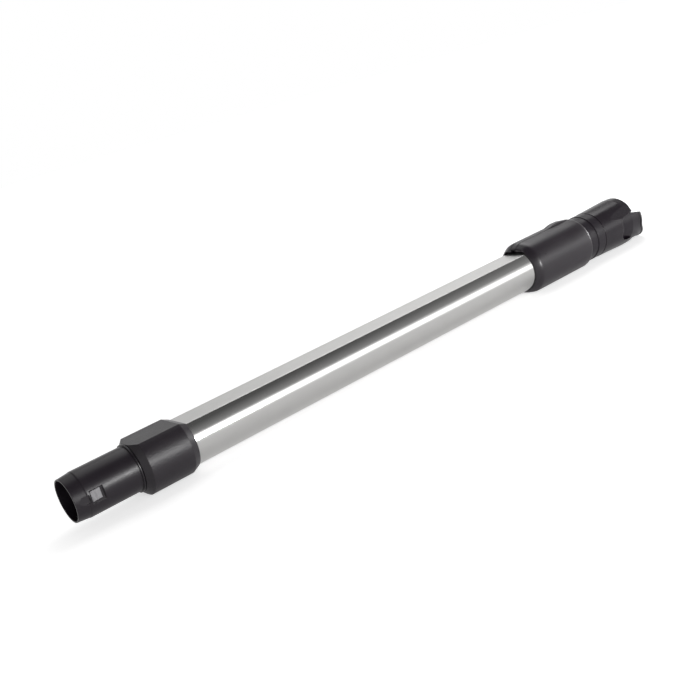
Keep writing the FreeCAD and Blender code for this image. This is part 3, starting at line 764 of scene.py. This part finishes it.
@dataclass
class HandleEnd:
    """Socket for the hose handle, with its hooded cover and the inner tube's rings."""

    rim_station: float = 622.8
    rim_bend: float = 8.4
    rim_slope: float = 0.8
    rim_round: float = 4.0
    rim_corner: float = 5.0
    sleeve_radius: float = 22.4
    bead_profile: tuple[tuple[float, float], ...] = (
        (0.05, -1.2),
        (0.05, 0.15),
        (0.35, 0.5),
        (0.9, 0.65),
        (1.9, 0.65),
        (2.4, 0.45),
        (2.6, 0.1),
        (2.6, -0.4),
    )

    def build(self) -> None:
        """Dresses the handle end and adds the bead round the socket's rim."""
        self._dress()
        self._rim_bead()

    def _rim_place(self, height: float) -> float:
        """Finds the rim's station at a height over the axis, in mm.

        Args:
            height: Height over the axis in mm.

        Returns:
            Station of the rim in mm.
        """
        depth = -self.rim_bend - height
        soft = self.rim_round * 0.6
        if depth <= -soft:
            return self.rim_station
        if depth >= soft:
            return self.rim_station + self.rim_slope * depth
        return self.rim_station + self.rim_slope * (depth + soft) ** 2 / (4.0 * soft)

    def _rim_bead(self) -> None:
        """Builds the bead that follows the rim from its one upper corner round to the other."""
        corner = math.acos(self.rim_corner / self.sleeve_radius)
        steps = 160
        rings = []
        for step in range(steps + 1):
            angle = corner + (2.0 * math.pi - 2.0 * corner) * step / steps
            ring = []
            for back, out in self.bead_profile:
                radius = self.sleeve_radius + out
                height = self.sleeve_radius * math.cos(angle)
                station = self._rim_place(height) - back
                z = max(radius * math.cos(angle), -AXIS_HEIGHT / MM)
                ring.append(Vector((along(station), -radius * math.sin(angle) * MM, AXIS_HEIGHT + z * MM)))
            rings.append(ring)
        bead = skin("rim_bead", rings, Ends.CAPPED)
        finish_piece(bead, Finishes.BEAD, Body.TELESCOPE)

    @staticmethod
    def _dress() -> None:
        """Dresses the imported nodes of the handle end."""
        carry_over(
            {
                "handle_socket": Finishes.SOCKET,
                "socket_cover": Finishes.COVER,
                "front_ring": Finishes.SOCKET,
                "guide_ring": Finishes.INNER,
            }
        )


@dataclass(frozen=True)
class Softbox:
    """A rectangular lamp that faces one point."""

    name: str
    place: Vector
    target: Vector
    width: float
    height: float
    brightness: float

    def build(self) -> bpy.types.Object:
        """Adds the lamp.

        Returns:
            The lamp, out of the camera's sight.
        """
        data = bpy.data.lights.new(self.name, "AREA")
        data.shape = "RECTANGLE"
        data.size = self.width
        data.size_y = self.height
        data.energy = math.pi * self.width * self.height * self.brightness
        lamp = bpy.data.objects.new(self.name, data)
        lamp.location = self.place
        lamp.rotation_mode = "QUATERNION"
        lamp.rotation_quaternion = (self.target - self.place).to_track_quat("-Z", "Y")
        lamp.visible_camera = False
        bpy.context.scene.collection.objects.link(lamp)
        return lamp


@dataclass
class Studio:
    """Pale floor, white horizon under a dim ceiling, five softboxes and the camera."""

    floor_radius: float = 12.0
    floor_colour: Colour = (0.82, 0.82, 0.82)
    floor_lift: float = 0.6
    floor_gloss_lift: float = 0.3
    clear_radius: float = 1.3
    camera_place: Vector = field(default_factory=lambda: Vector((-0.49153, -0.64140, 0.24345)))
    camera_right: Vector = field(default_factory=lambda: Vector((0.75274, -0.59822, -0.27480)))
    camera_up: Vector = field(default_factory=lambda: Vector((0.38051, 0.05473, 0.92316)))
    camera_lens: float = 50.70

    def build(self) -> None:
        """Builds the floor, the light and the camera."""
        self._floor()
        self._surroundings()
        for box in self.softboxes():
            box.build()
            LOG.info("%s: softbox", box.name)
        self._camera()

    @staticmethod
    def softboxes() -> list[Softbox]:
        """Lists the lamps: two overhead, one long and low in front, one small and strong at each end."""
        return [
            Softbox("overhead_softbox", Vector((1.25, 0.95, 1.6)), Vector((1.25, 0.95, 0.0)), 1.5, 1.8, 2.5),
            Softbox("overhead_side_softbox", Vector((0.1, 0.95, 1.6)), Vector((0.1, 0.95, 0.0)), 0.8, 1.8, 0.9),
            Softbox("front_softbox", Vector((1.1, -2.0, 0.41)), Vector((1.1, 0.0, 0.41)), 3.2, 0.78, 1.35),
            Softbox("handle_end_softbox", Vector((1.9, -0.28, 0.17)), Vector((0.2, 0.0, 0.03)), 0.6, 0.32, 16.0),
            Softbox("nozzle_end_softbox", Vector((0.38, -1.9, 0.24)), Vector((-0.2, 0.0, 0.0)), 0.55, 0.42, 24.0),
        ]

    def _floor(self) -> None:
        """Lays the floor: white to the camera and pale in reflections, with the wand's shadow on it."""
        mesh = bpy.data.meshes.new("floor")
        steps = 96
        turn = [2.0 * math.pi * step / steps for step in range(steps)]
        rim = [(self.floor_radius * math.cos(a), self.floor_radius * math.sin(a), 0.0) for a in turn]
        mesh.from_pydata(rim, [], [list(range(steps))])
        floor = bpy.data.objects.new("floor", mesh)
        bpy.context.scene.collection.objects.link(floor)
        made = bpy.data.materials.new("pale_floor")
        made.use_nodes = True
        shader = Shader(made.node_tree)
        paper = shader.noise(shader.place(), 900.0, 3.0)
        low = tuple(0.985 * part for part in self.floor_colour)
        feeds = {"Color": shader.blend(paper, self.floor_colour, low)}
        matte = shader.node("ShaderNodeBsdfDiffuse", {}, feeds)
        rays = shader.node("ShaderNodeLightPath", {}, {})
        straight = Reading(shader, rays.outputs["Is Camera Ray"]) + Reading(shader, rays.outputs["Is Transmission Ray"])
        mirrored = Reading(shader, rays.outputs["Is Glossy Ray"])
        reach = shader.node("ShaderNodeVectorMath", {"operation": "LENGTH"}, {0: shader.place()}).outputs["Value"]
        far = shader.ramp(Reading(shader, reach) * (1.0 / self.clear_radius), [(0.3, 0.0), (1.0, 1.0)])
        lift = self.floor_lift + far * (1.0 - self.floor_lift)
        strength = straight * lift + mirrored * (self.floor_gloss_lift + far * self.floor_lift)
        glow = shader.node("ShaderNodeEmission", {}, {"Color": (1.0, 1.0, 1.0, 1.0), "Strength": strength})
        both = shader.node("ShaderNodeAddShader", {}, {0: matte.outputs[0], 1: glow.outputs[0]})
        shader.node("ShaderNodeOutputMaterial", {}, {"Surface": both.outputs[0]})
        mesh.materials.append(made)
        LOG.info("floor: pale floor")

    @staticmethod
    def _surroundings() -> None:
        """Sets the world: white to the camera; in reflections white up to 20 degrees above the horizon, dim above."""
        world = bpy.data.worlds.new("studio")
        world.use_nodes = True
        bpy.context.scene.world = world
        shader = Shader(world.node_tree)
        towards = shader.node("ShaderNodeTexCoord", {}, {}).outputs["Generated"]
        height = Reading(shader, shader.node("ShaderNodeSeparateXYZ", {}, {0: towards}).outputs["Z"])
        sky = shader.ramp(height, [(0.0, 0.93), (0.34, 0.93), (0.40, 0.40), (0.83, 0.12), (1.0, 0.10)])
        rays = shader.node("ShaderNodeLightPath", {}, {})
        straight = Reading(shader, rays.outputs["Is Camera Ray"]) + Reading(shader, rays.outputs["Is Transmission Ray"])
        seen = straight + (1.0 - straight) * sky
        shader.node(
            "ShaderNodeOutputWorld",
            {},
            {"Surface": shader.node("ShaderNodeBackground", {}, {"Color": seen, "Strength": 1.0}).outputs[0]},
        )

    def _camera(self) -> None:
        """Sets the camera at the photograph's place."""
        data = bpy.data.cameras.new("camera")
        data.lens = self.camera_lens
        data.sensor_width = 36.0
        data.clip_start = 0.01
        data.clip_end = 60.0
        camera = bpy.data.objects.new("camera", data)
        back = self.camera_right.cross(self.camera_up)
        turn = Matrix((self.camera_right, self.camera_up, back)).transposed().to_4x4()
        camera.matrix_world = Matrix.Translation(self.camera_place) @ turn
        bpy.context.scene.collection.objects.link(camera)
        bpy.context.scene.camera = camera


def main() -> None:
    """Builds the wand's looks and the studio round it."""
    logging.basicConfig(level=logging.INFO, format="%(message)s")
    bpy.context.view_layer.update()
    scene = bpy.context.scene
    scene.view_settings.view_transform = "Standard"
    for part in (NozzleEnd(), SteelTubes(), SlidingLock(), HandleEnd(), Studio()):
        part.build()


if __name__ == "__main__":
    main()
